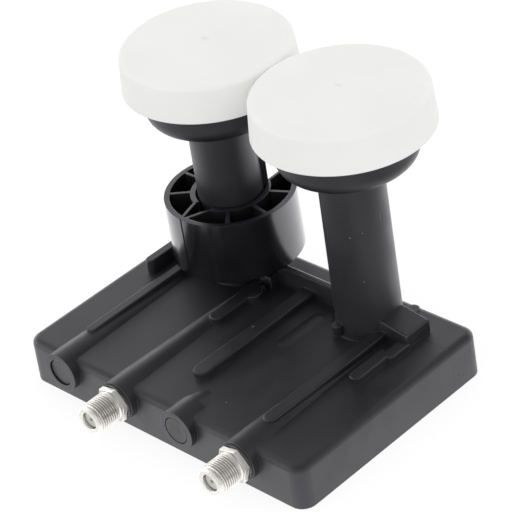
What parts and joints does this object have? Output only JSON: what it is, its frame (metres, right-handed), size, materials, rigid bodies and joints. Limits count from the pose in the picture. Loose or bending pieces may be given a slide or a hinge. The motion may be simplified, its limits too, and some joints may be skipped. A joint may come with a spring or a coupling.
{
  "type": "satellite lnb",
  "caption": "Twin-feed satellite low-noise block: flat cast base with paired feed necks and white caps, clip-on holder collar, threaded F connectors and blanked ports.",
  "frame": {"origin": "centre of the bounding box's footprint, on the plane of the base cover", "axes": "+X along the port face, ports look to -Y, feed necks stand along +Z"},
  "size_m": [0.1108, 0.1028, 0.0932],
  "materials": {
    "housing": "matte black coated casting",
    "base_cover": "matte black coated plate",
    "seal": "soft black",
    "screw": "plated",
    "board": "solder mask",
    "shield": "as cast",
    "ceramic": "fired ceramic",
    "chip": "moulded package",
    "cap": "satin white",
    "connector": "nickel plated",
    "insulator": "moulded",
    "contact": "plated",
    "washer": "plated",
    "plug": "matte black",
    "collar": "gloss black"
  },
  "bodies": {
    "root": {"housing": "housing", "base_cover": "base_cover", "cover_gasket": "seal", "cover_screws": "screw", "circuit_board": "board", "shield_frame": "shield", "shield_screws": "screw", "oscillator_pucks": "ceramic", "supply_regulator": "chip", "feed_cap_left": "cap", "feed_cap_right": "cap", "cap_seal_left": "seal", "cap_seal_right": "seal", "connector_body_a": "connector", "connector_body_b": "connector", "connector_insulator_a": "insulator", "connector_insulator_b": "insulator", "connector_contact_a": "contact", "connector_contact_b": "contact", "connector_washer_a": "washer", "connector_washer_b": "washer", "port_plug_a": "plug", "port_plug_b": "plug", "collar": "collar"}
  },
  "joints": []
}
